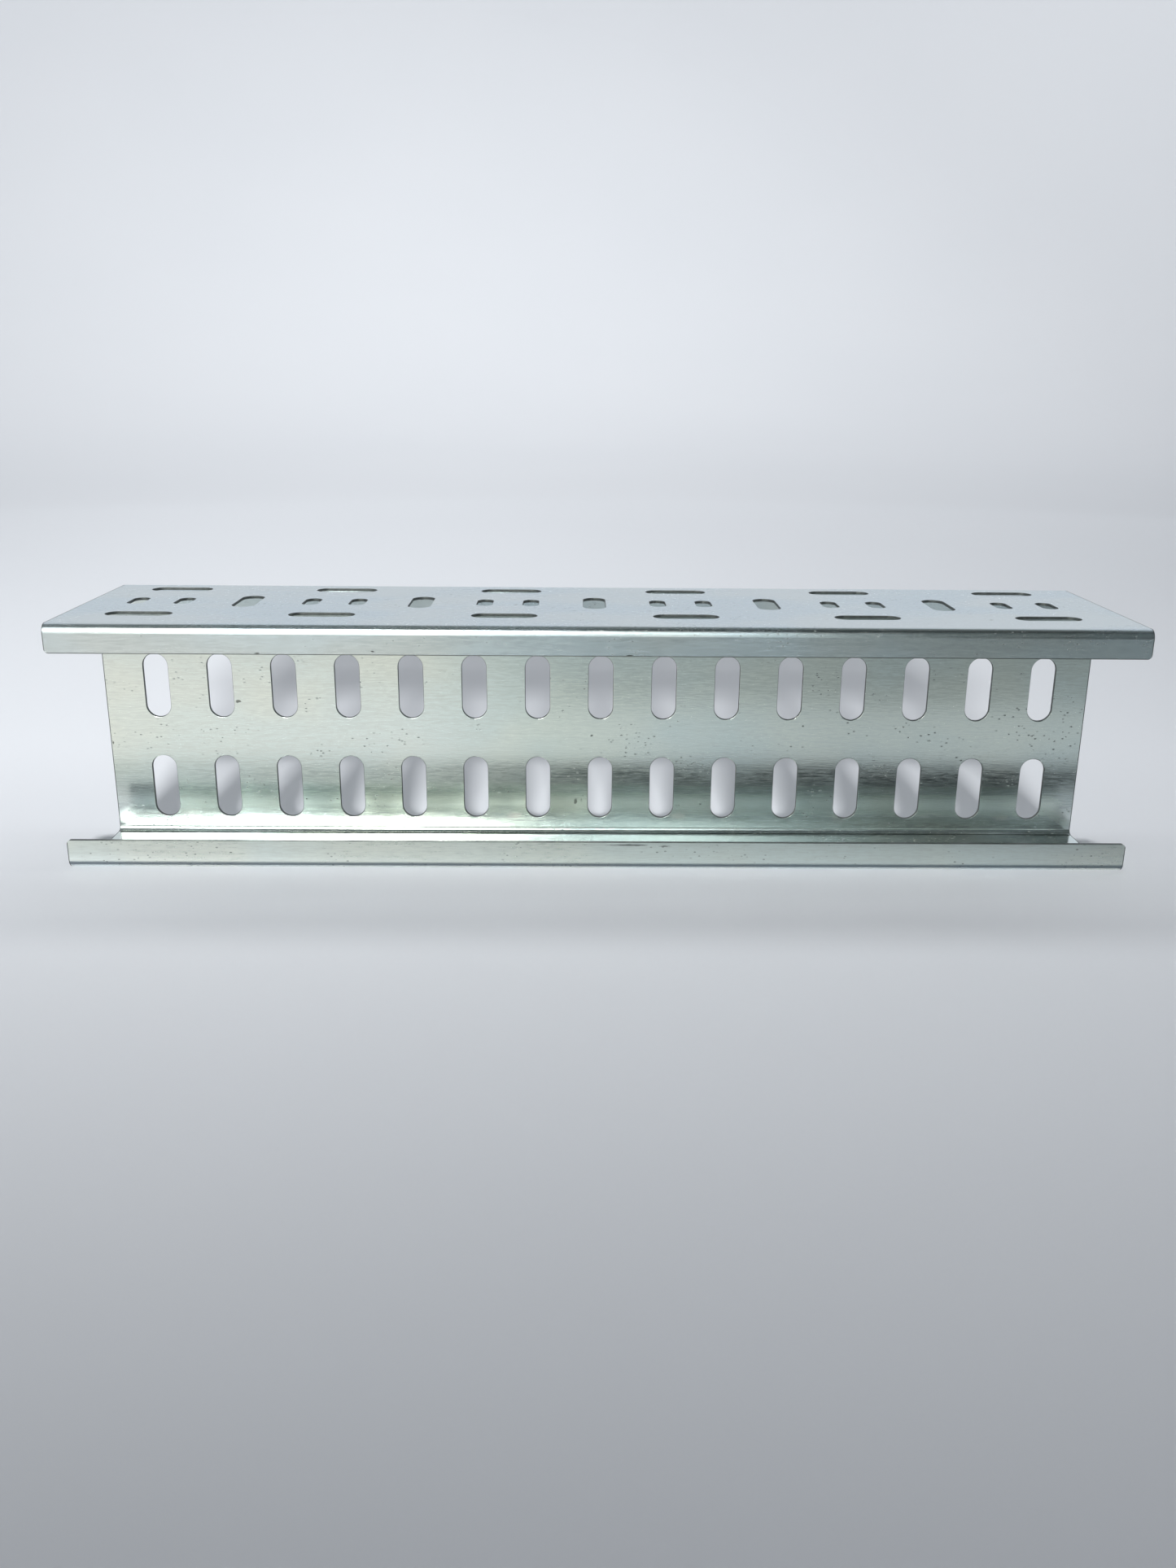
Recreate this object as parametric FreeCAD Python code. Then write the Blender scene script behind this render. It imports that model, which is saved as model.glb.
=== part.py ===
import FreeCAD, Part
import os
from FreeCAD import Vector

# A short length of galvanised cold-formed profile: a slotted deck with two
# turned-down lips stands on a slotted web, and the web is lapped onto a base
# strip with a turned-up front lip. Millimetres, +Z up, X along the length,
# the open side with the base lip faces -Y. The origin is the middle of the
# bounding box at floor level.

# Overall sizes
LENGTH = 300.0  # deck and base strip
DEPTH = 70.0  # deck, front lip to rear lip
HEIGHT = 70.0
FRONT = -DEPTH / 2  # y of the outer faces of both front lips

# Sheets and bends
DECK_SHEET = 0.8
WEB_SHEET = 1.0
BASE_SHEET = 1.0
OUTER_BEND = 2.5
DECK_LIP = 8.0  # heights of the lips over the outside
BASE_LIP = 8.5
LIP_CORNER = 1.2  # rounding of the free corners of each lip

# Web
WEB_LENGTH = 289.0
WEB_SETBACK = 27.3  # front edge of the deck to the front face of the web
WEB_FLANGE = 21.0  # lapped onto the base strip, measured from the web's rear face

# Base strip
BASE_DEPTH = 36.0
SNIP_START = 14.0  # behind this depth the strip narrows to the web's length

# Slots in the deck: groups of two long and two short slots, with a cross
# slot between neighbouring groups
GROUPS = 6
GROUP_PITCH = 51.2
FRONT_ROW = 17.0  # depths of the rows behind the front edge
MIDDLE_ROW = 38.4
REAR_ROW = 59.8
LONG_SLOT = (18.5, 6.5)  # length, width
SHORT_SLOT = (10.8, 4.6)
CROSS_SLOT = (19.0, 6.5)
SHORT_SLOT_OFFSET = 6.8  # from the middle of its group, along the deck
DECK_SLOT_SHIFT = -1.2  # middle of the slot pattern, from the middle of the cut length

# Slots in the web
WEB_COLUMNS = 15
WEB_PITCH = 18.6
WEB_ROWS = (16.1, 46.9)  # heights of the slot centres
WEB_SLOT = (19.0, 7.2)
WEB_SLOT_SHIFT = 0.8

PUNCH_ROLL = 0.2  # rounded rim on the face where the punch enters

# Welds
BEAD_LEG = 1.8
BEAD_LENGTH = 14.0
BEAD_BULGE = 0.25  # how far a bead's face stands out from flat
NUGGET_RADIUS = 2.5
NUGGET_DIMPLE = 0.12
NUGGET_DEPTH = 12.5  # row of spot welds, behind the front edge

TOLERANCE = 0.01

UNDER_DECK = HEIGHT - DECK_SHEET
WEB_FRONT = FRONT + WEB_SETBACK
WEB_REAR = WEB_FRONT + WEB_SHEET

ALONG_X = Vector(1, 0, 0)
ALONG_Y = Vector(0, 1, 0)
ALONG_Z = Vector(0, 0, 1)


def block(length, y_range, z_range):
    """Box centred on x = 0 between the given y and z limits."""
    size_y = y_range[1] - y_range[0]
    size_z = z_range[1] - z_range[0]
    return Part.makeBox(length, size_y, size_z, Vector(-length / 2, y_range[0], z_range[0]))


def edges_at(solid, x=None, y=None, z=None):
    """Straight edges that lie at the given coordinates; None leaves one free."""
    found = []
    for edge in solid.Edges:
        box = edge.BoundBox
        limits = ((x, box.XMin, box.XMax), (y, box.YMin, box.YMax), (z, box.ZMin, box.ZMax))
        if all(at is None or (abs(low - at) < TOLERANCE and abs(high - at) < TOLERANCE)
               for at, low, high in limits):
            found.append(edge)
    return found


def round_bend(solid, outer, inner, sheet):
    """Round a folded corner: outer and inner are the (y, z) of its two edges."""
    solid = solid.makeFillet(OUTER_BEND, edges_at(solid, y=outer[0], z=outer[1]))
    return solid.makeFillet(OUTER_BEND - sheet, edges_at(solid, y=inner[0], z=inner[1]))


def slot_cutter(centre, along, across, size):
    """Round-ended slot of (length, width), deep enough for any sheet here."""
    length, width = size
    run = along * ((length - width) / 2)
    side = across * (width / 2)
    tip = along * (length / 2)
    outline = Part.Wire([
        Part.LineSegment(centre - run + side, centre + run + side).toShape(),
        Part.Arc(centre + run + side, centre + tip, centre + run - side).toShape(),
        Part.LineSegment(centre + run - side, centre - run - side).toShape(),
        Part.Arc(centre - run - side, centre - tip, centre - run + side).toShape(),
    ])
    normal = along.cross(across) * (2 * OUTER_BEND)
    cutter = Part.Face(outline).extrude(normal)
    cutter.translate(normal * -0.5)
    return cutter


def punch(solid, cutters, y=None, z=None):
    """Cut the slots, then roll their rims on the face at the given y or z."""
    solid = solid.cut(Part.makeCompound(cutters)).removeSplitter()
    rims = []
    for cutter in cutters:
        reach = cutter.BoundBox
        reach.enlarge(TOLERANCE)
        rims += [edge for edge in edges_at(solid, y=y, z=z) if reach.isInside(edge.BoundBox)]
    return solid.makeFillet(PUNCH_ROLL, rims)


def deck_slots():
    cutters = []
    first = DECK_SLOT_SHIFT - GROUP_PITCH * (GROUPS - 1) / 2
    for index in range(GROUPS):
        middle = first + index * GROUP_PITCH
        for row in (FRONT_ROW, REAR_ROW):
            place = Vector(middle, FRONT + row, HEIGHT)
            cutters.append(slot_cutter(place, ALONG_X, ALONG_Y, LONG_SLOT))
        for side in (-1, 1):
            place = Vector(middle + side * SHORT_SLOT_OFFSET, FRONT + MIDDLE_ROW, HEIGHT)
            cutters.append(slot_cutter(place, ALONG_Y, ALONG_X, SHORT_SLOT))
        if index < GROUPS - 1:
            place = Vector(middle + GROUP_PITCH / 2, FRONT + MIDDLE_ROW, HEIGHT)
            cutters.append(slot_cutter(place, ALONG_Y, ALONG_X, CROSS_SLOT))
    return cutters


def make_deck():
    """Inverted channel: slotted top with a front and a rear lip."""
    low = HEIGHT - DECK_LIP
    inside = (FRONT + DECK_SHEET, -FRONT - DECK_SHEET)
    deck = block(LENGTH, (FRONT, -FRONT), (low, HEIGHT))
    deck = deck.cut(block(LENGTH, inside, (low, UNDER_DECK)))
    deck = round_bend(deck, (FRONT, HEIGHT), (inside[0], UNDER_DECK), DECK_SHEET)
    deck = round_bend(deck, (-FRONT, HEIGHT), (inside[1], UNDER_DECK), DECK_SHEET)
    for end in (-LENGTH / 2, LENGTH / 2):
        deck = deck.makeFillet(LIP_CORNER, edges_at(deck, x=end, z=low))
    return punch(deck, deck_slots(), z=HEIGHT)


def web_slots():
    first = WEB_SLOT_SHIFT - WEB_PITCH * (WEB_COLUMNS - 1) / 2
    return [slot_cutter(Vector(first + column * WEB_PITCH, WEB_FRONT, height),
                        ALONG_Z, ALONG_X, WEB_SLOT)
            for height in WEB_ROWS for column in range(WEB_COLUMNS)]


def make_web():
    """Slotted upright wall, folded forward at the bottom into a lap flange."""
    top_of_flange = BASE_SHEET + WEB_SHEET
    wall = block(WEB_LENGTH, (WEB_FRONT, WEB_REAR), (BASE_SHEET, UNDER_DECK))
    flange = block(WEB_LENGTH, (WEB_REAR - WEB_FLANGE, WEB_REAR), (BASE_SHEET, top_of_flange))
    web = wall.fuse(flange).removeSplitter()
    web = round_bend(web, (WEB_REAR, BASE_SHEET), (WEB_FRONT, top_of_flange), WEB_SHEET)
    web = punch(web, web_slots(), y=WEB_FRONT)
    return web.cut(Part.makeCompound(nugget_cores()))


def make_base():
    """Floor strip with an upturned front lip and snipped rear corners."""
    strip = block(LENGTH, (FRONT, FRONT + BASE_DEPTH), (0, BASE_SHEET))
    lip = block(LENGTH, (FRONT, FRONT + BASE_SHEET), (0, BASE_LIP))
    base = strip.fuse(lip).removeSplitter()
    base = round_bend(base, (FRONT, 0), (FRONT + BASE_SHEET, BASE_SHEET), BASE_SHEET)
    for end in (-LENGTH / 2, LENGTH / 2):
        base = base.makeFillet(LIP_CORNER, edges_at(base, x=end, z=BASE_LIP))
    return base.cut(Part.makeCompound(corner_snips() + nugget_cores()))


def corner_snips():
    """Wedge-ended blocks that take the base strip's rear corners away."""
    snip = (LENGTH - WEB_LENGTH) / 2
    cutters = []
    for side in (-1, 1):
        corners = [
            Vector(side * LENGTH / 2, FRONT + SNIP_START, 0),
            Vector(side * WEB_LENGTH / 2, FRONT + SNIP_START + snip, 0),
            Vector(side * WEB_LENGTH / 2, FRONT + BASE_DEPTH, 0),
            Vector(side * LENGTH / 2, FRONT + BASE_DEPTH, 0),
        ]
        outline = Part.makePolygon(corners + corners[:1])
        cutters.append(Part.Face(outline).extrude(ALONG_Z * BASE_SHEET))
    return cutters


def nugget_places():
    """One spot weld to each slot group, evenly spaced about the middle of the length."""
    first = -GROUP_PITCH * (GROUPS - 1) / 2
    return [Vector(first + index * GROUP_PITCH, FRONT + NUGGET_DEPTH, 0)
            for index in range(GROUPS)]


def nugget_cores():
    """Full-height cylinders of both sheets where the spot welds go."""
    return [Part.makeCylinder(NUGGET_RADIUS, BASE_SHEET + WEB_SHEET, place)
            for place in nugget_places()]


def make_spot_welds():
    """Fused cores of both flanges, dimpled at top and bottom by the electrodes."""
    height = BASE_SHEET + WEB_SHEET - 2 * NUGGET_DIMPLE
    return [Part.makeCylinder(NUGGET_RADIUS, height, place + ALONG_Z * NUGGET_DIMPLE)
            for place in nugget_places()]


def weld_bead(x, y, outward):
    """Fillet bead under the deck against the web; outward is -1 or +1 along Y."""
    root = Vector(x - BEAD_LENGTH / 2 + BEAD_LEG, y, UNDER_DECK)
    on_deck = root + ALONG_Y * (outward * BEAD_LEG)
    on_web = root - ALONG_Z * BEAD_LEG
    crown = (on_deck + on_web) * 0.5 + Vector(0, outward, -1).normalize() * BEAD_BULGE
    section = Part.Face(Part.Wire([
        Part.LineSegment(root, on_deck).toShape(),
        Part.Arc(on_deck, crown, on_web).toShape(),
        Part.LineSegment(on_web, root).toShape(),
    ]))
    run = ALONG_X * (BEAD_LENGTH - 2 * BEAD_LEG)
    bead = section.extrude(run)
    near_end = section.revolve(root, ALONG_Z, 90 * outward)
    far_end = section.translated(run).revolve(root + run, ALONG_Z, -90 * outward)
    return bead.fuse([near_end, far_end]).removeSplitter()


def make_front_beads():
    """One bead to each gap between slot groups, near the cross slots."""
    first = -GROUP_PITCH * (GROUPS - 2) / 2
    return [weld_bead(first + index * GROUP_PITCH, WEB_FRONT, -1) for index in range(GROUPS - 1)]


def make_rear_beads():
    """Staggered with the front beads, one to each slot group."""
    return [weld_bead(place.x, WEB_REAR, 1) for place in nugget_places()]


def export(name, solids):
    for solid in solids:
        if not solid.isValid() or solid.ShapeType not in ("Solid", "Compound"):
            raise ValueError(name + " is not a valid solid")
    Part.makeCompound(solids).exportStep(os.path.join("parts", name + ".step"))


def only_solid(shape):
    """The single solid inside a boolean result."""
    if len(shape.Solids) != 1:
        raise ValueError("expected one solid, found %d" % len(shape.Solids))
    return shape.Solids[0]


os.makedirs("parts", exist_ok=True)
export("deck_channel", [only_solid(make_deck())])
export("web_angle", [only_solid(make_web())])
export("base_strip", [only_solid(make_base())])
export("front_weld_beads", [only_solid(bead) for bead in make_front_beads()])
export("rear_weld_beads", [only_solid(bead) for bead in make_rear_beads()])
export("base_spot_welds", make_spot_welds())
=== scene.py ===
"""Looks of a short length of slotted galvanised profile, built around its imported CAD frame."""

import math
import random

import bmesh
import bpy
from mathutils import Matrix, Vector


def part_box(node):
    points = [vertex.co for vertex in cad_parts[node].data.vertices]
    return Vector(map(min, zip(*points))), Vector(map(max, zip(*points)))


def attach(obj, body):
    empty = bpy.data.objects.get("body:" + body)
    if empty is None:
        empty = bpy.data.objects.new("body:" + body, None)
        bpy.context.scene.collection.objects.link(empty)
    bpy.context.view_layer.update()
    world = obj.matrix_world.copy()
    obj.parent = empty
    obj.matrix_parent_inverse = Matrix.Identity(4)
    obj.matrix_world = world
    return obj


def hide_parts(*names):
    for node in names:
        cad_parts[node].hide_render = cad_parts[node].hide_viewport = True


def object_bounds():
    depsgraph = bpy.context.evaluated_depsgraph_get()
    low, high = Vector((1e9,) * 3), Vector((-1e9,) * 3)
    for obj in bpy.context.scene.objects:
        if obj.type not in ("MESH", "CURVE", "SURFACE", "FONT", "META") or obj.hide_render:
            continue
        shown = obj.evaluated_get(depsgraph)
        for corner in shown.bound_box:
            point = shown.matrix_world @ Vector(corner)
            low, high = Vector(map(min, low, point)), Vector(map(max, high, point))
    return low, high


MM = 0.001

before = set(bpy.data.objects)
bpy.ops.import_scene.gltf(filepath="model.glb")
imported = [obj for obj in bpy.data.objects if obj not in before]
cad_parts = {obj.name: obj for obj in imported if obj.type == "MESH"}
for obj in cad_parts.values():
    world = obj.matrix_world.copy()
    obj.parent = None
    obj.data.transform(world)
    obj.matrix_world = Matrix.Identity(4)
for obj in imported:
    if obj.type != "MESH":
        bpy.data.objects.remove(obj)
CAD_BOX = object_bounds()
HIGH = CAD_BOX[1]

DECK_LOW, DECK_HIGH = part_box("deck_channel")
WEB_LOW, WEB_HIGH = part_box("web_angle")
BASE_LOW, BASE_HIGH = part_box("base_strip")
UNDER_DECK = WEB_HIGH.z
BASE_SHEET = WEB_LOW.z
WEB_FRONT_FACE = WEB_HIGH.y - BASE_SHEET
OUTER_BEND = 2.5 * MM

BEAD_PITCH = 51.2 * MM
BEAD_LENGTH = 14 * MM
BEAD_LEG = 1.8 * MM
WEB_REAR_FACE = WEB_HIGH.y
BEADS = [
    ("front_weld_beads", [step * BEAD_PITCH - BEAD_LENGTH / 2 for step in (-2, -1, 0, 1, 2)],
     WEB_FRONT_FACE, -1),
    ("rear_weld_beads", [(step + 0.5) * BEAD_PITCH - BEAD_LENGTH / 2 for step in range(-3, 3)],
     WEB_REAR_FACE, 1),
]

# Single dark marks on each sheet: x, y, z, length along X and height, in mm
DECK_MARKS = [(-24.3, 0.2, 70, 1.3, 1.2), (109.8, -20.5, 70, 1.2, 1.0), (-92.8, -35, 62.4, 1.8, 0.6),
              (-61.5, -35, 63.0, 1.2, 0.5), (8.0, -35, 62.3, 2.0, 0.5)]
WEB_MARKS = [(-6.5, -7.7, 11.6, 1.1, 1.9), (-105.9, -7.7, 42.2, 1.8, 0.9), (-1.8, -7.7, 32.3, 0.8, 0.7),
             (-143.9, -7.7, 29.3, 0.6, 1.2), (5.1, -7.7, 58.9, 2.2, 0.5), (61.0, -7.7, 35.5, 0.7, 0.6)]
BASE_MARKS = [(8.9, -35, 7.7, 12.0, 0.5), (-61.9, -35, 8.6, 1.8, 0.5), (-104, -35, 5.0, 0.9, 0.5),
              (18.5, -35, 7.4, 3.0, 0.4)]

random.seed(7)

WORLD = 0.205  # strength of the surroundings

# The room that the metal mirrors: rows of azimuth in degrees (left is
# negative), red, green and blue, one list for each height in the dome
UPRIGHTS = [(-180, .72, .77, .82), (-75, .76, .81, .84), (-26, 1.1, 1.15, 1.1), (-18, 2.3, 2.4, 2.3),
            (-10, 2.3, 2.4, 2.3), (-6, 1.5, 1.65, 1.6), (-3.5, .70, .80, .78), (2.0, .62, .73, .73),
            (4.5, 1.4, 1.5, 1.4), (7.5, 1.0, 1.12, 1.08), (10.5, .60, .70, .70), (13, .40, .47, .47),
            (15.5, .20, .24, .24), (20, .10, .12, .12), (30, .05, .06, .06), (60, .08, .10, .10),
            (100, .72, .77, .82), (180, .72, .77, .82)]
WINDOW = [(-180, .72, .77, .82), (-100, .75, .80, .85), (-46, .95, 1.0, 1.0),
          (-32, 3.0, 3.1, 3.0), (-21, 13, 13, 12.6), (-10, 16, 16, 15.5),
          (-7, 5.0, 5.2, 5.1), (-5, 1.6, 1.8, 1.8), (-2, .60, .72, .72), (1, .50, .60, .60),
          (4, 1.3, 1.5, 1.45), (7, 1.6, 1.8, 1.75), (10, .75, .87, .87), (13, .32, .38, .38),
          (20, .12, .145, .145), (60, .06, .075, .075), (100, .66, .72, .77), (180, .72, .77, .82)]
CEILING = [(-180, .20, .23, .23), (0, .16, .19, .19), (8, .10, .12, .12), (20, .05, .06, .06),
           (90, .05, .06, .06), (130, .20, .23, .23), (180, .20, .23, .23)]
WINDOW_RISE = (16, 25)  # degrees over which the uprights give way to the window
CEILING_RISE = (47, 57)  # and the window to the ceiling

# The floor in front as the metal mirrors it: rows of sideways place, red,
# green and blue, for the strip at the lip's foot, which is the painted contact
# shadow there, and then for each band further out, with the y range in metres
# over which that band comes in
MAT_CONTACT_SHADOW = [(-100, .22, .25, .30), (100, .12, .15, .18)]
MAT_BANDS = [
    ((-.0362, -.0380), [(-100, 1.15, 1.20, 1.20), (-40, .92, .98, .97), (0, .70, .78, .78),
                        (60, .53, .59, .60), (100, .43, .48, .50)]),
    ((-.0405, -.0440), [(-100, .66, .69, .69), (-40, .60, .64, .63), (0, .56, .62, .62),
                        (60, .44, .49, .50), (100, .36, .40, .42)]),
    ((-.056, -.062), [(-80, .62, .68, .66), (-30, .38, .43, .42), (0, .08, .10, .10), (40, .015, .02, .022)]),
    ((-.077, -.090), [(-60, .98, 1.0, .96), (-30, .94, .97, .95), (-8, .75, .82, .80), (10, .66, .73, .74),
                      (40, .52, .58, .60)]),
    ((-.150, -.200), [(-60, .98, .98, .93), (-22, .86, .88, .83), (-8, .60, .66, .64), (0, .47, .53, .53),
                      (40, .30, .34, .34)]),
    ((-.290, -.400), [(-60, .62, .64, .62), (-22, .54, .57, .55), (-8, .33, .37, .36), (0, .26, .30, .30),
                      (8, .32, .36, .36), (25, .30, .34, .34), (40, .17, .20, .20)]),
]


# ---------------------------------------------------------------- node helpers

class Nodes:
    """Short names for the shader nodes that the materials below are made of."""

    def __init__(self, name):
        self.material = bpy.data.materials.new(name)
        self.material.use_nodes = True
        self.tree = self.material.node_tree
        self.tree.nodes.clear()
        self.output = self.tree.nodes.new("ShaderNodeOutputMaterial")
        self.place = self.tree.nodes.new("ShaderNodeTexCoord").outputs["Object"]
        geometry = self.tree.nodes.new("ShaderNodeNewGeometry")
        self.face_normal = geometry.outputs["True Normal"]

    def link(self, value, socket):
        if isinstance(value, bpy.types.NodeSocket):
            self.tree.links.new(value, socket)
        else:
            socket.default_value = value

    def math(self, operation, first, second=0.0):
        node = self.tree.nodes.new("ShaderNodeMath")
        node.operation = operation
        self.link(first, node.inputs[0])
        self.link(second, node.inputs[1])
        return node.outputs[0]

    def split(self, vector):
        node = self.tree.nodes.new("ShaderNodeSeparateXYZ")
        self.link(vector, node.inputs[0])
        return node.outputs

    def ramp(self, value, low, high, start=0.0, end=1.0):
        """value between low and high, remapped to start and end, and clamped."""
        node = self.tree.nodes.new("ShaderNodeMapRange")
        node.interpolation_type = "SMOOTHSTEP"
        for socket, number in zip(node.inputs, (value, low, high, start, end)):
            self.link(number, socket)
        return node.outputs[0]

    def stretched(self, scale, shift=(0, 0, 0)):
        """Object position scaled per axis, in features per metre."""
        node = self.tree.nodes.new("ShaderNodeMapping")
        self.link(self.place, node.inputs["Vector"])
        node.inputs["Scale"].default_value = scale
        node.inputs["Location"].default_value = shift
        return node.outputs[0]

    def noise(self, scale, detail=3.0, roughness=0.5, shift=(0, 0, 0)):
        node = self.tree.nodes.new("ShaderNodeTexNoise")
        self.link(self.stretched(scale, shift), node.inputs["Vector"])
        node.inputs["Scale"].default_value = 1.0
        node.inputs["Detail"].default_value = detail
        node.inputs["Roughness"].default_value = roughness
        return node.outputs["Fac"]

    def cells(self, scale, output="Distance"):
        node = self.tree.nodes.new("ShaderNodeTexVoronoi")
        self.link(self.stretched(scale), node.inputs["Vector"])
        node.inputs["Scale"].default_value = 1.0
        return node.outputs[output]

    def mark(self, x, y, z, length, height):
        """1 inside a ragged oval that is length along X and height across it, in mm."""
        offset = self.tree.nodes.new("ShaderNodeVectorMath")
        offset.operation = "SUBTRACT"
        self.link(self.place, offset.inputs[0])
        offset.inputs[1].default_value = (x * MM, y * MM, z * MM)
        stretch = self.tree.nodes.new("ShaderNodeVectorMath")
        stretch.operation = "MULTIPLY"
        self.link(offset.outputs[0], stretch.inputs[0])
        stretch.inputs[1].default_value = (2 / (length * MM), 2 / (height * MM), 2 / (height * MM))
        reach = self.tree.nodes.new("ShaderNodeVectorMath")
        reach.operation = "LENGTH"
        self.link(stretch.outputs[0], reach.inputs[0])
        ragged = self.math("MULTIPLY", self.noise((900, 2500, 2500), detail=2.0), 1.6)
        return self.ramp(self.math("ADD", reach.outputs["Value"], ragged), 1.9, 1.3, 0.0, 0.85)

    def mix(self, factor, first, second):
        node = self.tree.nodes.new("ShaderNodeMix")
        node.data_type = "RGBA"
        self.link(factor, node.inputs["Factor"])
        self.link(first, node.inputs[6])
        self.link(second, node.inputs[7])
        return node.outputs[2]

    def steps(self, value, stops):
        """A colour that runs through (value, red, green, blue) stops."""
        low, high = stops[0][0], stops[-1][0]
        node = self.tree.nodes.new("ShaderNodeValToRGB")
        self.link(self.ramp_line(value, low, high), node.inputs[0])
        band = node.color_ramp
        while len(band.elements) < len(stops):
            band.elements.new(0.5)
        for element, (at, *color) in zip(band.elements, stops):
            element.position = (at - low) / (high - low)
            element.color = (*color, 1)
        return node.outputs[0]

    def ramp_line(self, value, low, high):
        """value between low and high as 0 to 1."""
        node = self.tree.nodes.new("ShaderNodeMapRange")
        for socket, number in zip(node.inputs, (value, low, high)):
            self.link(number, socket)
        return node.outputs[0]

    def bump(self, height, distance, strength=1.0, normal=None):
        node = self.tree.nodes.new("ShaderNodeBump")
        self.link(height, node.inputs["Height"])
        node.inputs["Distance"].default_value = distance
        node.inputs["Strength"].default_value = strength
        if normal is not None:
            self.link(normal, node.inputs["Normal"])
        return node.outputs[0]

    def surface(self, color, roughness, normal, metallic=1.0):
        shader = self.tree.nodes.new("ShaderNodeBsdfPrincipled")
        self.link(color, shader.inputs["Base Color"])
        self.link(roughness, shader.inputs["Roughness"])
        self.link(metallic, shader.inputs["Metallic"])
        self.link(normal, shader.inputs["Normal"])
        self.tree.links.new(shader.outputs[0], self.output.inputs["Surface"])


# ------------------------------------------------------------------- materials

CUT_STEEL = (0.20, 0.215, 0.21, 1)
PIT_GREY = (0.22, 0.24, 0.24, 1)
# grey of the painted shade on the lips' rear faces and the deck's underside
PAINTED_SHADE_GREY = (0.16, 0.19, 0.19, 1)
# grey of the single dark marks and of the painted shade along the web's fold
MARK_AND_SHADE_GREY = (0.14, 0.15, 0.14, 1)
BARE_DARK = (0.08, 0.09, 0.088, 1)
WARM_SHIFT = (1.02, 1.005, 0.975)
COOL_SHIFT = (0.965, 0.995, 1.015)
DARK_SHARE = 0.84  # of the tint, in the rolling lines and the mottle
RIM_TILT = 0.88  # a face that leans more than this is a slot's wall
BURNISH_AND_SHADOW_BAND = 0.22 * MM  # width of the burnished band beside a sheared edge, coloured as bare steel; at the foot of the deck's lips this band is painted shadow
# where the painted shade line along the web's fold lies
FOLD_LINE = WEB_FRONT_FACE - OUTER_BEND + BASE_SHEET + 0.1 * MM
FOLD_TOP = 2.4 * MM
LIP_SHADE = (3.6 * MM, 5.6 * MM)  # heights over which the painted shade on the lip's rear comes in


def ends(n, low, high):
    """1 on the sheared ends and on the thin burnished line beside each."""
    x = n.split(n.place)[0]
    left = n.math("LESS_THAN", x, low.x + BURNISH_AND_SHADOW_BAND)
    right = n.math("GREATER_THAN", x, high.x - BURNISH_AND_SHADOW_BAND)
    return n.math("MAXIMUM", left, right)


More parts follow.
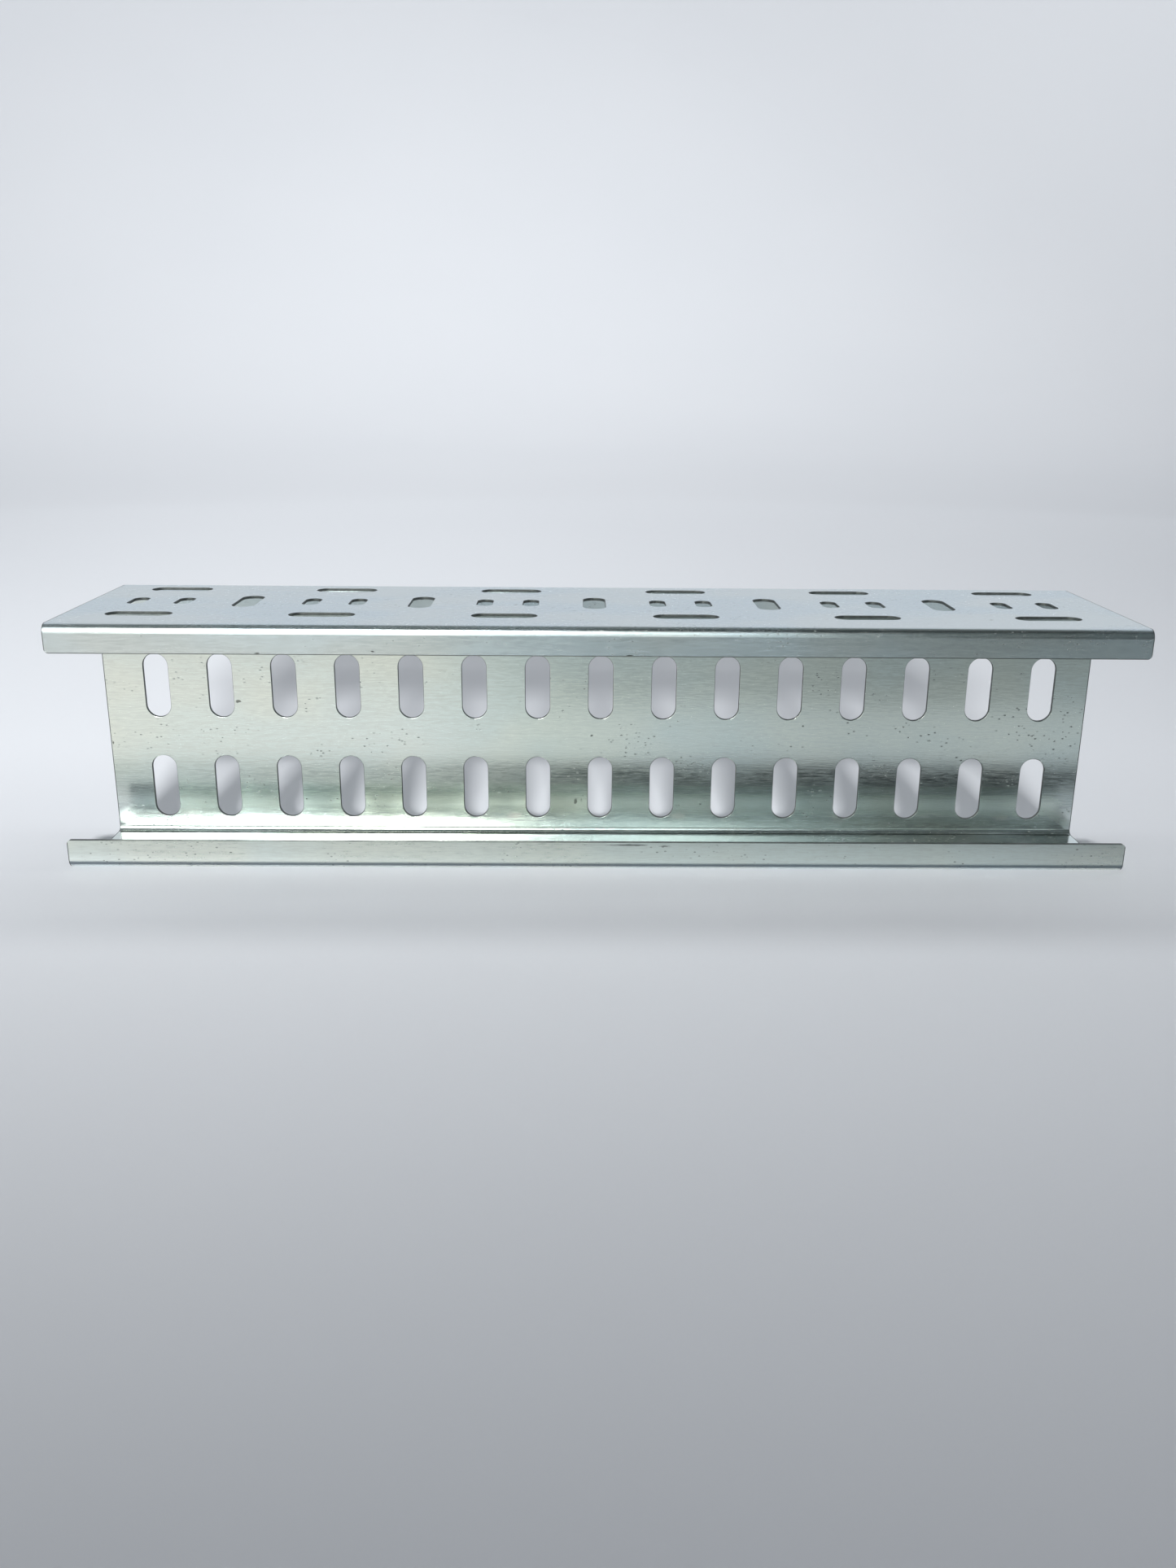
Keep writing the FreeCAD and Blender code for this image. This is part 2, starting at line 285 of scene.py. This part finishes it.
def zinc(name, tint, cut_edges, roughness, inner_roughness,
         streak=1.0, pits=1.0, painted_shade=0.0, marks=(), crease_shade=None):
    """Rolled galvanised sheet.

    tint is the zinc's colour and cut_edges(n) the mask of its bare sheared
    edges. inner_roughness is for faces that do not look out at the front, streak
    the strength of the short rolling lines along X, pits the share of small
    dark pits, painted_shade how much painted shade darkens the inner faces, marks
    the places and sizes of single dark marks, and crease_shade(n) the mask of
    painted shade along a fold.
    """
    n = Nodes(name)
    clouds = n.noise((22, 34, 34), detail=2.5)
    mottle = n.noise((420, 800, 800), detail=4.0, roughness=0.62)
    dashes = n.noise((330, 3300, 3300), detail=3.0, roughness=0.62, shift=(3, 5, 7))
    lines = n.noise((60, 1500, 1500), detail=2.0, shift=(9, 1, 4))
    grain = n.noise((2600, 4200, 4200), detail=2.0, roughness=0.7)

    streaks = n.math("ADD", n.math("MULTIPLY", dashes, 0.75), n.math("MULTIPLY", lines, 0.25))
    warm = tuple(tint[i] * WARM_SHIFT[i] for i in range(3)) + (1,)
    cool = tuple(tint[i] * COOL_SHIFT[i] for i in range(3)) + (1,)
    dark = tuple(part * DARK_SHARE for part in tint) + (1,)
    color = n.mix(n.ramp(clouds, 0.38, 0.62), warm, cool)
    color = n.mix(n.ramp(streaks, 0.58, 0.40, 0.0, 0.42 * streak), color, dark)
    color = n.mix(n.ramp(mottle, 0.50, 0.72, 0.0, 0.30), color, dark)

    specks = n.cells((480, 900, 900))
    pit_mask = n.ramp(specks, 0.14 * pits, 0.22 * pits, 1.0, 0.0)
    sparse = n.ramp(n.noise((70, 110, 110), detail=1.0, shift=(2, 8, 1)), 0.52, 0.66)
    pit_mask = n.math("MULTIPLY", pit_mask, sparse)
    color = n.mix(n.math("MULTIPLY", pit_mask, 0.75), color, PIT_GREY)

    # painted shade: the lips' rear faces and the deck's underside darkened towards grey
    if painted_shade:
        color = n.mix(n.math("MULTIPLY", inside(n), painted_shade), color, PAINTED_SHADE_GREY)
    for mark in marks:
        color = n.mix(n.mark(*mark), color, MARK_AND_SHADE_GREY)
    # painted shade along the web's fold
    if crease_shade:
        color = n.mix(crease_shade(n), color, MARK_AND_SHADE_GREY)

    bare = cut_edges(n)
    shear = n.noise((900, 900, 220), detail=2.0)
    bare_color = n.mix(shear, CUT_STEEL, BARE_DARK)
    color = n.mix(bare, color, bare_color)

    spread = n.math("MULTIPLY", n.ramp(streaks, 0.3, 0.7, -1.0, 1.0), 0.05 * streak)
    outward = n.math("LESS_THAN", n.split(n.face_normal)[1], -0.7)
    rough = n.math("ADD", spread, n.ramp(outward, 0, 1, inner_roughness, roughness))
    rough = n.math("ADD", rough, n.math("MULTIPLY", n.ramp(clouds, 0.3, 0.7), 0.05))
    rough = n.math("ADD", rough, n.math("MULTIPLY", pit_mask, 0.25))
    rough = n.math("MAXIMUM", rough, n.math("MULTIPLY", bare, 0.48))

    calm = n.ramp(n.split(n.face_normal)[2], 0.6, 0.9, 1.0, 0.12)
    ripple = n.noise((16, 30, 30), detail=1.0, shift=(1, 2, 3))
    normal = n.bump(n.math("MULTIPLY", ripple, n.ramp(calm, 0, 1, 0.4, 1.0)), 0.1 * MM)
    relief = n.math("SUBTRACT", n.math("MULTIPLY", streaks, streak), pit_mask)
    normal = n.bump(n.math("MULTIPLY", relief, calm), 0.009 * MM, normal=normal)
    normal = n.bump(n.math("MULTIPLY", grain, calm), 0.004 * MM, normal=normal)
    n.surface(color, rough, normal)
    return n.material


def inside(n):
    """1 on the rear of the front lips and on the deck's underside, the faces that get painted shade."""
    y = n.split(n.place)[1]
    turned = n.split(n.face_normal)
    lip = n.math("MULTIPLY", n.math("GREATER_THAN", turned[1], 0.6), n.math("LESS_THAN", y, 0.0))
    lip = n.math("MULTIPLY", lip, n.ramp(n.split(n.place)[2], *LIP_SHADE))
    under = n.math("LESS_THAN", turned[2], -0.6)
    high = n.math("GREATER_THAN", n.split(n.place)[2], DECK_LOW.z)
    return n.math("MAXIMUM", lip, n.math("MULTIPLY", under, high))


def web_fold_shade(n):
    """A painted shade line along the inside of the web's fold, where its flange starts."""
    from_fold = n.math("ABSOLUTE", n.math("SUBTRACT", n.split(n.place)[1], FOLD_LINE))
    return n.math("MULTIPLY", n.ramp(from_fold, 0.15 * MM, 0.45 * MM, 1.0, 0.0),
                  n.math("LESS_THAN", n.split(n.place)[2], FOLD_TOP))


def deck_edges(n):
    """Slot walls in the deck's flat top, its sheared ends and its lips' lower edges, with a thin band of
    painted shadow along the foot of each lip.
    """
    _, y, z = n.split(n.place)
    upright = n.math("LESS_THAN", n.math("ABSOLUTE", n.split(n.face_normal)[2]), RIM_TILT)
    flat_top = n.math("LESS_THAN", n.math("ABSOLUTE", y), HIGH.y - OUTER_BEND)
    walls = n.math("MULTIPLY", upright, flat_top)
    # the lips' downward cut edges, plus a thin band of painted shadow on the faces just above them
    lip_edge = n.math("LESS_THAN", z, DECK_LOW.z + BURNISH_AND_SHADOW_BAND)
    return n.math("MAXIMUM", n.math("MAXIMUM", walls, lip_edge), ends(n, DECK_LOW, DECK_HIGH))


def web_edges(n):
    """Slot walls in the web and its sheared ends, but not the folded flange."""
    z = n.split(n.place)[2]
    turned = n.math("LESS_THAN", n.math("ABSOLUTE", n.split(n.face_normal)[1]), RIM_TILT)
    above = n.math("GREATER_THAN", z, BASE_SHEET + OUTER_BEND)
    return n.math("MAXIMUM", n.math("MULTIPLY", turned, above), ends(n, WEB_LOW, WEB_HIGH))


def base_edges(n):
    """The base strip's sheared ends and the free edge of its lip."""
    z = n.split(n.place)[2]
    lip_edge = n.math("GREATER_THAN", z, BASE_HIGH.z - BURNISH_AND_SHADOW_BAND / 2)
    return n.math("MAXIMUM", lip_edge, ends(n, BASE_LOW, BASE_HIGH))


def weld_metal():
    """Dull weld metal with a straw and blue heat tint between its ripples."""
    n = Nodes("weld_metal")
    patches = n.noise((240, 240, 240), detail=3.0)
    fine = n.noise((1500, 1500, 1500), detail=2.0)
    color = n.mix(n.ramp(patches, 0.4, 0.6), (0.34, 0.33, 0.31, 1), (0.42, 0.36, 0.27, 1))
    color = n.mix(n.ramp(patches, 0.62, 0.75), color, (0.22, 0.25, 0.33, 1))
    rough = n.ramp(fine, 0.3, 0.7, 0.3, 0.5)
    n.surface(color, rough, n.bump(fine, 0.03 * MM))
    return n.material


def spot_metal():
    """Electrode-pressed zinc, mottled in a lighter and a darker grey."""
    n = Nodes("spot_metal")
    fine = n.noise((1200, 1200, 1200), detail=3.0)
    color = n.mix(n.ramp(fine, 0.35, 0.65), (0.50, 0.50, 0.48, 1), (0.36, 0.35, 0.33, 1))
    n.surface(color, n.ramp(fine, 0.3, 0.7, 0.35, 0.55), n.bump(fine, 0.02 * MM))
    return n.material


def dress(node, material):
    """Gives a carried-over CAD node its material."""
    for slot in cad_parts[node].material_slots:
        slot.material = material


# ------------------------------------------------------------------ weld beads

def bead_mesh(name, starts, face_y, outward, length, leg):
    """Rippled fillet beads, each a row of overlapping puddles along X."""
    mesh = bmesh.new()
    ripple = 0.9 * MM
    stations = 64
    around = 12
    for start in starts:
        rings = []
        for station in range(stations + 1):
            along = station / stations
            x = start + along * length
            from_end = min(along, 1 - along) * length
            taper = math.sqrt(max(0.0, 1 - max(0.0, 1 - from_end / leg) ** 2))
            phase = (x - start) / ripple
            swell = 0.93 + 0.07 * abs(math.cos(math.pi * phase))
            size = leg * taper * swell * random.uniform(0.985, 1.0)
            ring = []
            for step in range(around + 1):
                turn = math.pi / 2 * step / around
                reach = size * (math.cos(turn) + math.sin(turn)) ** -0.8
                y = face_y + outward * reach * math.cos(turn)
                z = UNDER_DECK - reach * math.sin(turn)
                ring.append(mesh.verts.new((x, y, z)))
            ring.append(mesh.verts.new((x, face_y, UNDER_DECK)))
            rings.append(ring)
        for near, far in zip(rings, rings[1:]):
            count = len(near)
            for step in range(count):
                after = (step + 1) % count
                mesh.faces.new((near[step], near[after], far[after], far[step]))
    bmesh.ops.remove_doubles(mesh, verts=mesh.verts, dist=0.001 * MM)
    bmesh.ops.recalc_face_normals(mesh, faces=mesh.faces)
    data = bpy.data.meshes.new(name)
    mesh.to_mesh(data)
    mesh.free()
    data.polygons.foreach_set("use_smooth", [True] * len(data.polygons))
    piece = bpy.data.objects.new(name, data)
    bpy.context.scene.collection.objects.link(piece)
    return piece


# ----------------------------------------------------------- stage and lights

FLOOR_FLAT = 0.5
SWEEP = 4.6
SWEEP_STEPS = 40
DOME_RADIUS = 1.1
DOME_STEPS = 32
DOME_STRENGTH = 0.92
MAT_STRENGTH = 0.86
MAT_NEAR = -0.0345  # y of the mat's edge at the foot of the base lip
MAT_HEIGHT = 0.6 * MM
MAT_PIVOT = 0.12  # y of the point that the mat's sideways places fan out from
LENS = 29.78
EYE = (-6.9 * MM, -380.1 * MM, 135.1 * MM)
YAW_PITCH_ROLL = (0.636, 17.57, 0.456)  # degrees


def lathe(name, profile, segments):
    """A surface of revolution about Z through (radius, height) points."""
    mesh = bmesh.new()
    rings = []
    for radius, height in profile:
        ring = []
        for step in range(segments):
            turn = 2 * math.pi * step / segments
            ring.append(mesh.verts.new((radius * math.cos(turn), radius * math.sin(turn), height)))
        rings.append(ring)
    for near, far in zip(rings, rings[1:]):
        for step in range(segments):
            after = (step + 1) % segments
            mesh.faces.new((near[step], near[after], far[after], far[step]))
    bmesh.ops.recalc_face_normals(mesh, faces=mesh.faces)
    data = bpy.data.meshes.new(name)
    mesh.to_mesh(data)
    mesh.free()
    data.polygons.foreach_set("use_smooth", [True] * len(data.polygons))
    piece = bpy.data.objects.new(name, data)
    bpy.context.scene.collection.objects.link(piece)
    return piece


def pale_floor():
    """A round floor that rises gently into a wall, so that no view shows a horizon."""
    profile = [(0.0005, 0), (0.3, 0)]
    for step in range(SWEEP_STEPS + 1):
        out = step / SWEEP_STEPS
        profile.append((FLOOR_FLAT + SWEEP * out, SWEEP * out ** 4))
    floor = lathe("floor", profile, 96)
    n = Nodes("pale_floor")
    soft = n.noise((1.3, 1.3, 1.3), detail=2.0)
    color = n.mix(soft, (0.69, 0.715, 0.75, 1), (0.74, 0.76, 0.79, 1))
    n.surface(color, 0.8, n.bump(soft, 1 * MM), metallic=0.0)
    floor.data.materials.append(n.material)


def room_light():
    """Pale, even surroundings."""
    world = bpy.data.worlds.new("studio")
    world.use_nodes = True
    background = world.node_tree.nodes["Background"]
    background.inputs["Color"].default_value = (0.86, 0.90, 0.96, 1)
    background.inputs["Strength"].default_value = WORLD
    bpy.context.scene.world = world


def softbox(name, place, target, size, power, spread=180):
    """A lamp; metal doesn't mirror it and sees the reflection cards instead."""
    light = bpy.data.lights.new(name, "AREA")
    light.shape = "RECTANGLE"
    light.size, light.size_y = size
    light.energy = power
    light.spread = math.radians(spread)
    lamp = bpy.data.objects.new(name, light)
    lamp.location = place
    aim = Vector(target) - Vector(place)
    lamp.rotation_euler = aim.to_track_quat("-Z", "Y").to_euler()
    lamp.visible_camera = False
    lamp.visible_glossy = False
    bpy.context.scene.collection.objects.link(lamp)
    return lamp


def flag(place, size):
    """A board that only shadows can see, which keeps a lamp off the floor in front."""
    width, height = size
    x, y, z = place
    mesh = bpy.data.meshes.new("flag")
    corners = [(x + side * width / 2, y, z + rise) for side, rise in
               ((-1, 0), (1, 0), (1, height), (-1, height))]
    mesh.from_pydata(corners, [], [(0, 1, 2, 3)])
    board = bpy.data.objects.new("flag", mesh)
    bpy.context.scene.collection.objects.link(board)
    n = Nodes("flag_cloth")
    n.surface(n.mix(n.noise((40, 40, 40)), (0.02, 0.02, 0.02, 1), (0.03, 0.03, 0.03, 1)), 0.9,
              n.bump(n.noise((400, 400, 400)), 0.1 * MM), metallic=0.0)
    mesh.materials.append(n.material)
    board.visible_camera = False
    board.visible_diffuse = False
    board.visible_glossy = False
    board.visible_transmission = False
    return board


def let_past(lamp, board):
    """Keeps a board out of the way of one lamp."""
    skipped = bpy.data.collections.new("past_" + lamp.name)
    skipped.objects.link(board)
    lamp.light_linking.blocker_collection = skipped
    skipped.collection_objects[0].light_linking.link_state = "EXCLUDE"


def reflection_only(card):
    """Lets a card show in the metal without lighting or shading anything else."""
    card.visible_camera = False
    card.visible_diffuse = False
    card.visible_shadow = False
    card.visible_transmission = False


def glow(n, color, strength):
    """Makes a card's material shine without lighting the scene."""
    shader = n.tree.nodes.new("ShaderNodeEmission")
    n.link(color, shader.inputs["Color"])
    n.link(strength, shader.inputs["Strength"])
    n.tree.links.new(shader.outputs[0], n.output.inputs["Surface"])
    n.material.cycles.emission_sampling = "NONE"


def reflection_dome():
    """The room that the metal mirrors, as a half sphere round the object.

    In front, low down, it is a row of bright and dark uprights, given as
    azimuth in degrees (left is negative) and brightness. Above that comes a
    broad window to the left, then a dark ceiling. Behind, it is the pale wall.
    """
    profile = []
    for step in range(DOME_STEPS + 1):
        turn = math.pi / 2 * step / DOME_STEPS
        profile.append((DOME_RADIUS * math.cos(turn) + 1e-4, DOME_RADIUS * math.sin(turn)))
    dome = lathe("reflection_dome", profile, 64)
    n = Nodes("reflection_dome")
    x, y, z = n.split(n.place)
    azimuth = n.math("ARCTAN2", x, n.math("MULTIPLY", y, -1.0))
    azimuth = n.math("MULTIPLY", azimuth, 180 / math.pi)
    rise = n.math("ARCSINE", n.math("DIVIDE", z, DOME_RADIUS * 1.0001))
    rise = n.math("MULTIPLY", rise, 180 / math.pi)
    uprights = n.steps(azimuth, UPRIGHTS)
    window = n.steps(azimuth, WINDOW)
    ceiling = n.steps(azimuth, CEILING)
    front = n.mix(n.ramp(rise, *WINDOW_RISE), uprights, window)
    front = n.mix(n.ramp(rise, *CEILING_RISE), front, ceiling)
    glow(n, front, DOME_STRENGTH)
    dome.data.materials.append(n.material)
    reflection_only(dome)


def reflection_mat():
    """The floor beyond the base lip's foot, as the web and the deck's lip mirror it."""
    mesh = bpy.data.meshes.new("reflection_mat")
    left, right = -DOME_RADIUS, DOME_RADIUS
    near, far = MAT_NEAR, -DOME_RADIUS
    corners = [(left, far, MAT_HEIGHT), (right, far, MAT_HEIGHT),
               (right, near, MAT_HEIGHT), (left, near, MAT_HEIGHT)]
    mesh.from_pydata(corners, [], [(0, 1, 2, 3)])
    mat = bpy.data.objects.new("reflection_mat", mesh)
    bpy.context.scene.collection.objects.link(mat)
    n = Nodes("reflection_mat")
    x, y, _ = n.split(n.place)
    side = n.math("MULTIPLY", n.math("DIVIDE", x, n.math("SUBTRACT", MAT_PIVOT, y)), 100.0)
    color = n.steps(side, MAT_CONTACT_SHADOW)
    for y_range, stops in MAT_BANDS:
        color = n.mix(n.ramp(y, *y_range), color, n.steps(side, stops))
    glow(n, color, MAT_STRENGTH)
    mesh.materials.append(n.material)
    reflection_only(mat)


def camera():
    """In front of the object and a little above it, looking down at it."""
    data = bpy.data.cameras.new("camera")
    data.sensor_width = 36.0
    data.lens = LENS
    eye = bpy.data.objects.new("camera", data)
    eye.location = EYE
    yaw, pitch, roll = (math.radians(angle) for angle in YAW_PITCH_ROLL)
    turn = Matrix.Rotation(-yaw, 3, "Z") @ Matrix.Rotation(math.pi / 2 - pitch, 3, "X")
    eye.rotation_euler = (turn @ Matrix.Rotation(roll, 3, "Z")).to_euler()
    bpy.context.scene.collection.objects.link(eye)
    bpy.context.scene.camera = eye


# ----------------------------------------------------------------------- build

dress("deck_channel", zinc("deck_zinc", (0.73, 0.785, 0.815), deck_edges, roughness=0.20,
                           inner_roughness=0.24, streak=0.6, pits=0.8, painted_shade=0.6, marks=DECK_MARKS))
dress("web_angle", zinc("web_zinc", (0.83, 0.875, 0.85), web_edges, roughness=0.12,
                        inner_roughness=0.16, marks=WEB_MARKS, crease_shade=web_fold_shade))
dress("base_strip", zinc("base_zinc", (0.86, 0.90, 0.875), base_edges, roughness=0.30,
                         inner_roughness=0.38, painted_shade=0.84, marks=BASE_MARKS))
dress("base_spot_welds", spot_metal())

room_light()
pale_floor()
softbox("key", place=(-0.05, -2.3, 0.72), target=(-0.22, 0.7, 0.0), size=(0.4, 0.12),
        power=7.4, spread=38)
key_flag = flag(place=(0, -1.2, 0.03), size=(4.0, 0.325))
back_lamp = softbox("back", place=(0.0, 1.9, 2.8), target=(0, 3.4, 0.0), size=(5.0, 1.4), power=75)
let_past(back_lamp, key_flag)
reflection_dome()
reflection_mat()
camera()

weld = weld_metal()
for name, starts, face_y, outward in BEADS:
    bead = bead_mesh(name + "_rippled", starts, face_y, outward, BEAD_LENGTH, BEAD_LEG)
    bead.data.materials.append(weld)
    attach(bead, "root")
    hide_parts(name)
bpy.context.scene.view_settings.view_transform = "Standard"
